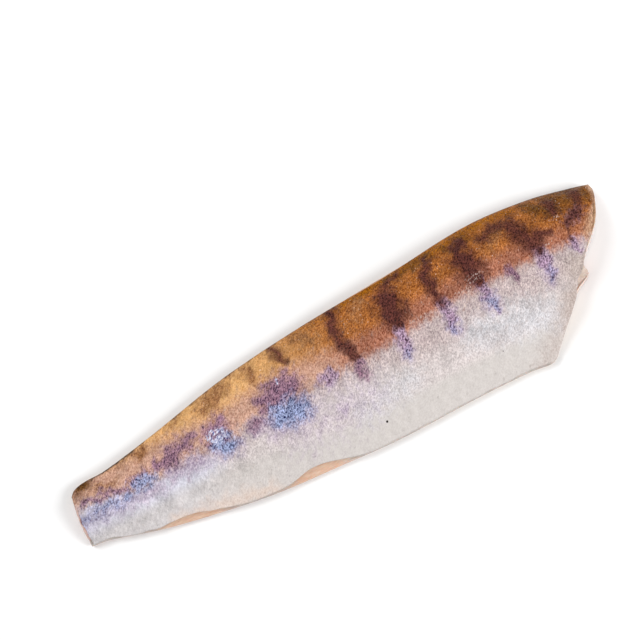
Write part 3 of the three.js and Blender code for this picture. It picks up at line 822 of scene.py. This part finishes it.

# Pigments and painted highlights in the order in which they lie over each other. Each has the attribute that
# says where it lies, the dark and the light of its grain, the noise that strays over its edge and how far,
# and how soft that edge is.
# A reach below 0 takes the noise the other way round.
BACK_BROWN = ("#763b12", "#cb803f")
SKIN_PIGMENTS = [
    ("tan", "#cb9256", "#edbd82", "cells", 0.5, 0.9),
    ("salmon", "#7c3f2a", "#c4866c", "cells", 0.8, 1),
    ("mauve", "#ab7c68", "#e2b8a2", "cells", 0.8, 0.9),
    ("gold", "#683400", "#c27600", "cells", 0.8, 0.8),
    ("umber", "#402006", "#80521a", "cells", 1.1, 1),
    ("mottle", "#6e4228", "#ba8558", "cells", 1.2, 0.9),
    ("peach", "#a87c62", "#dcb494", "cells", 0.7, 0.8),
    ("dark_fleck", "#3a2012", "#5a3320", "flecks", -2.2, 0.4),
    ("silver", "#9e8c8e", "#dfcdca", "cells", 0.9, 0.8),
    ("pearl", "#bbb0af", "#e2d8d6", "cells", 0.7, 0.9),
    ("cool", "#cbcad6", "#e1e0eb", "cells", 0.9, 0.8),
    ("belly", "#c2bbb7", "#cec8c4", "cells", 0.4, 0.9),
    ("cream", "#a3928a", "#c6b8b2", "cells", 0.6, 0.9),
    ("ice", "#b0adb1", "#e0dfe4", "cells", 0.8, 0.9),
    ("blush", "#ccb4a6", "#e2cfc2", "cells", 0.6, 1.2),
    # painted highlights: pale sparkles on the grain
    ("sparkle_highlight", "#dcc2b0", "#f2e6dd", "flecks", 2, 0.5),
    ("lilac", "#93809a", "#d4c3d3", "cells", 1.0, 1),
    ("purple", "#301234", "#b68ca0", "cells", 1.4, 1),
    ("violet", "#2c0624", "#cfaeca", "cells", 1.6, 1),
    ("blue", "#080c46", "#b6c2ea", "cells", 1.4, 1),
    ("bar", "#220a0a", "#744038", "cells", 0.8, 1.2),
    ("rim", "#1f1713", "#5d4630", "cells", 1.5, 0.8),
    # pale scratches, partly painted glints
    ("scratch_and_glint", "#b09088", "#e2cec4", "flecks", 1.6, 0.6),
    ("glint", "#6a70b4", "#f4f5fe", "flecks", 1.5, 0.5),
    ("speck", "#120d0d", "#241a1a", "cells", 0.1, 0.2),
]
FLESH_CREAM = ("#d6b5a6", "#e4cabd")
FLESH_COLOURS = [
    ("loin", "#dfc4ba", "#e9d5cc", "clouds", 0.5, 0.9),
    ("tail", "#cb9f94", "#dab8ad", "clouds", 0.5, 0.9),
    ("flap", "#d8b799", "#e4cab1", "clouds", 0.6, 0.9),
    ("line", "#cf9480", "#dcab98", "clouds", 0.4, 0.9),
    ("line_core", "#bb7262", "#cb8d7b", "clouds", 0.6, 0.6),
    ("wedge", "#7c3a30", "#a05c4c", "clouds", 0.8, 0.7),
    ("back_rim", "#a8713a", "#c99a64", "clouds", 0.8, 0.9),
    ("grey_edge", "#a69c96", "#cbc1ba", "clouds", 0.5, 0.9),
    ("peach_edge", "#d0a88e", "#e2c4ae", "clouds", 0.5, 0.9),
    ("loin_cut", "#96704f", "#cba684", "fibres", 0.9, 0.8),
    ("tag", "#b6a092", "#d8c3b6", "fibres", 0.6, 0.8),
    ("sheet", "#e6d6cd", "#efe2da", "clouds", 1.2, 0.9),
    ("vein", "#7a4a36", "#9c6a50", "clouds", 1.4, 0.8),
    ("speck", "#150d0a", "#2a1a14", "clouds", 0.1, 0.3),
]


def per(size):
    """How often a pattern of this size in millimetres comes in a metre, as a texture's scale."""
    return 1 / (size * MM)


def layered(tree, base, layers, noises, grain):
    """Colours laid over each other by their attributes, each from its dark to its light by the grain."""
    sockets = {0: grain, COLOUR_A: linear(base[0]), COLOUR_B: linear(base[1])}
    colour = add_node(tree, "Mix", sockets, output=COLOUR_OUT, data_type="RGBA")
    offsets = {
        name: add_node(tree, "Math", {0: noise, 1: 0.5}, operation="SUBTRACT")
        for name, noise in noises.items()
    }
    for attribute, dark, light, noise, reach, softness in layers:
        field = add_node(tree, "Attribute", output="Fac", attribute_name=attribute)
        strayed = add_node(tree, "Math", {0: offsets[noise], 1: reach, 2: field}, operation="MULTIPLY_ADD")
        sockets = {"Value": strayed, "From Min": 0.5 - softness / 2, "From Max": 0.5 + softness / 2}
        share = add_node(tree, "MapRange", sockets, interpolation_type="SMOOTHSTEP")
        sockets = {0: grain, COLOUR_A: linear(dark), COLOUR_B: linear(light)}
        tint = add_node(tree, "Mix", sockets, output=COLOUR_OUT, data_type="RGBA")
        sockets = {0: share, COLOUR_A: colour, COLOUR_B: tint}
        colour = add_node(tree, "Mix", sockets, output=COLOUR_OUT, data_type="RGBA")
    return colour


def skin_material():
    """Skin scraped free of scales with its slime left on: speckled pigment cells under a thin wet film."""
    material, tree, shader = new_material(
        "fish skin, scaled and wet", IOR=1.36, Specular_IOR_Level=0.1, Coat_Weight=0.03, Coat_Roughness=0.1
    )
    place = add_node(tree, "TexCoord", output="Object")
    sockets = {"Vector": place, "Rotation": (0, 0, GRAIN_TURN), "Scale": (GRAIN_STRETCH, 1, 1)}
    brushed = add_node(tree, "Mapping", sockets, vector_type="TEXTURE")
    sockets = {"Vector": brushed, "Scale": per(CELL_SIZE), "Detail": 3.0, "Roughness": 0.7}
    cells = add_node(tree, "TexNoise", sockets)
    flecks = add_node(tree, "TexNoise", {"Vector": brushed, "Scale": per(FLECK_SIZE), "Detail": 1.0})
    sockets = {"Vector": brushed, "Scale": per(SPECKLE_SIZE), "Detail": 3.0, "Distortion": 0.2}
    fine = add_node(tree, "TexNoise", sockets)
    sockets = {"Vector": brushed, "Scale": per(CREASE_SIZE), "Detail": 1.0, "Distortion": 0.5}
    crease = add_node(tree, "TexNoise", sockets)
    # Thin light lines along the creases are a painted highlight in the grain, which also feeds the bump.
    off_crease = add_node(tree, "Math", {0: crease, 1: 0.5}, operation="SUBTRACT")
    off_crease = add_node(tree, "Math", {0: off_crease}, operation="ABSOLUTE")
    crease_highlight = add_node(tree, "MapRange", {"Value": off_crease, "From Max": 0.12, "To Min": 0.3, "To Max": -0.2})
    grain = add_node(tree, "MapRange", {"Value": fine, **NOISE_SPAN}, clamp=True)
    grain = add_node(tree, "Math", {0: grain, 1: crease_highlight}, operation="ADD", use_clamp=True)
    colour = layered(tree, BACK_BROWN, SKIN_PIGMENTS, {"cells": cells, "flecks": flecks}, grain)

    # Painted shade darkens the pockets inside and painted light makes the crests of wrinkles lighter; soft
    # patches drift from light to dark.
    pocket = add_node(tree, "Attribute", output="Fac", attribute_name="pocket")
    pocket_painted_shade = add_node(tree, "MapRange", {"Value": pocket, "To Min": 0.9, "To Max": 1.06})
    crest = add_node(tree, "Attribute", output="Fac", attribute_name="crest")
    crest_painted_light = add_node(tree, "MapRange", {"Value": crest, "To Min": 0.95, "To Max": 1.05})
    sockets = {"Vector": place, "Scale": per(DRIFT_SIZE), "Detail": 2.0, "Roughness": 0.6}
    drift = add_node(tree, "TexNoise", sockets)
    drift = add_node(tree, "Math", {0: drift, 1: 0.5}, operation="SUBTRACT")
    rough = add_node(tree, "Attribute", output="Fac", attribute_name="rough")
    drift = add_node(tree, "Math", {0: drift, 1: rough}, operation="MULTIPLY")
    drift_tone = add_node(tree, "Math", {0: drift, 1: DRIFT_STRENGTH, 2: 1.0}, operation="MULTIPLY_ADD")
    tone = add_node(tree, "Math", {0: pocket_painted_shade, 1: crest_painted_light}, operation="MULTIPLY")
    tone = add_node(tree, "Math", {0: tone, 1: drift_tone}, operation="MULTIPLY")
    toned = add_node(tree, "VectorMath", {0: colour, "Scale": tone}, operation="SCALE")
    tree.links.new(toned, shader.inputs["Base Color"])

    gloss = add_node(tree, "MapRange", {"Value": cells, **NOISE_SPAN, "To Min": 0.34, "To Max": 0.52})
    tree.links.new(gloss, shader.inputs["Roughness"])
    strength = add_node(tree, "MapRange", {"Value": rough, "To Min": 0.1, "To Max": 1.0})
    bump = add_node(tree, "Bump", {"Height": grain, "Strength": strength, "Distance": SKIN_BUMP * MM})
    tree.links.new(bump, shader.inputs["Normal"])
    return material


def flesh_material():
    """Raw fillet, cut and wet: pale muscle that light sinks into a little way, under its own juice."""
    material, tree, shader = new_material(
        "raw fish flesh, cut and wet", IOR=1.38, Coat_Weight=0.5, Coat_Roughness=0.08, Coat_IOR=1.33,
        Subsurface_Weight=0.25, Subsurface_Radius=(0.004, 0.0016, 0.0009), Subsurface_Scale=1.0,
    )
    place = add_node(tree, "TexCoord", output="Object")
    sockets = {"Vector": place, "Scale": (FIBRE_STRETCH, 1, 1)}
    drawn = add_node(tree, "Mapping", sockets, vector_type="TEXTURE")
    sockets = {"Vector": place, "Scale": per(CLOUD_SIZE), "Detail": 3.0, "Roughness": 0.6}
    clouds = add_node(tree, "TexNoise", sockets)
    sockets = {"Vector": drawn, "Scale": per(FIBRE_SIZE), "Detail": 2.0, "Roughness": 0.6}
    fibres = add_node(tree, "TexNoise", sockets)
    grain = add_node(tree, "MapRange", {"Value": fibres, **NOISE_SPAN}, clamp=True)
    colour = layered(tree, FLESH_CREAM, FLESH_COLOURS, {"clouds": clouds, "fibres": fibres}, grain)
    rings = add_node(tree, "Attribute", output="Fac", attribute_name="ring")
    tone = add_node(tree, "MapRange", {"Value": rings, "To Min": 1.0, "To Max": 0.9})
    toned = add_node(tree, "VectorMath", {0: colour, "Scale": tone}, operation="SCALE")
    tree.links.new(toned, shader.inputs["Base Color"])

    gloss = add_node(tree, "MapRange", {"Value": clouds, **NOISE_SPAN, "To Min": 0.3, "To Max": 0.46})
    tree.links.new(gloss, shader.inputs["Roughness"])
    bump = add_node(tree, "Bump", {"Height": fibres, "Strength": 0.6, "Distance": FLESH_BUMP * MM})
    tree.links.new(bump, shader.inputs["Normal"])
    return material


def floor_material():
    """Matt white paper, which shows soft shadows and no reflection."""
    return new_material("floor, matt white paper", Roughness=0.95, Base_Color=linear("#fbfbfb"))[0]


skin = make_skin()
flesh = make_flesh()
skin.data.materials.append(skin_material())
flesh.data.materials.append(flesh_material())
for piece, node in ((skin, "skin"), (flesh, "flesh")):
    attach(piece, "root")
    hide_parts(node)

# ---- floor, light and camera, in metres

FLOOR_SIZE = 6.0
floor_mesh = bpy.data.meshes.new("floor")
half = FLOOR_SIZE / 2
floor_mesh.from_pydata(
    [(-half, -half, 0), (half, -half, 0), (half, half, 0), (-half, half, 0)], [], [(0, 1, 2, 3)]
)
floor = bpy.data.objects.new("floor", floor_mesh)
scene.collection.objects.link(floor)
floor.data.materials.append(floor_material())

world = bpy.data.worlds.new("studio")
world.use_nodes = True
background = world.node_tree.nodes["Background"]
background.inputs["Color"].default_value = (1, 1, 1, 1)
background.inputs["Strength"].default_value = 0.4
scene.world = world

# Softboxes round the fillet: place, the side of its square, and watts.
SOFTBOXES = [
    ("key_softbox", (0.95, -0.85, 0.85), 0.7, 16.5),
    ("fill_softbox", (-0.75, 0.95, 1.35), 1.1, 19),
]
for name, place, side, power in SOFTBOXES:
    light = bpy.data.lights.new(name, "AREA")
    light.size = side
    light.energy = power
    softbox = bpy.data.objects.new(name, light)
    softbox.location = place
    softbox.rotation_euler = (-Vector(place)).to_track_quat("-Z", "Y").to_euler()
    scene.collection.objects.link(softbox)

# The camera looks from the photograph's side: how far round, how high, and how far from the middle.
CAMERA_AZIMUTH = math.radians(-27.705)
CAMERA_ELEVATION = math.radians(76)
CAMERA_DISTANCE = 0.795
CAMERA_TARGET = (-0.0026238, 0.0344028, 0)
CAMERA_LENS = 85

camera_data = bpy.data.cameras.new("camera")
camera_data.lens = CAMERA_LENS
camera_data.sensor_width = 36
camera = bpy.data.objects.new("camera", camera_data)
back_way = np.array([
    math.sin(CAMERA_AZIMUTH) * math.cos(CAMERA_ELEVATION),
    -math.cos(CAMERA_AZIMUTH) * math.cos(CAMERA_ELEVATION),
    math.sin(CAMERA_ELEVATION),
])
camera.location = np.array(CAMERA_TARGET) + back_way * CAMERA_DISTANCE
camera.rotation_euler = (math.pi / 2 - CAMERA_ELEVATION, 0, CAMERA_AZIMUTH)
scene.collection.objects.link(camera)
scene.camera = camera
scene.view_settings.view_transform = "Standard"
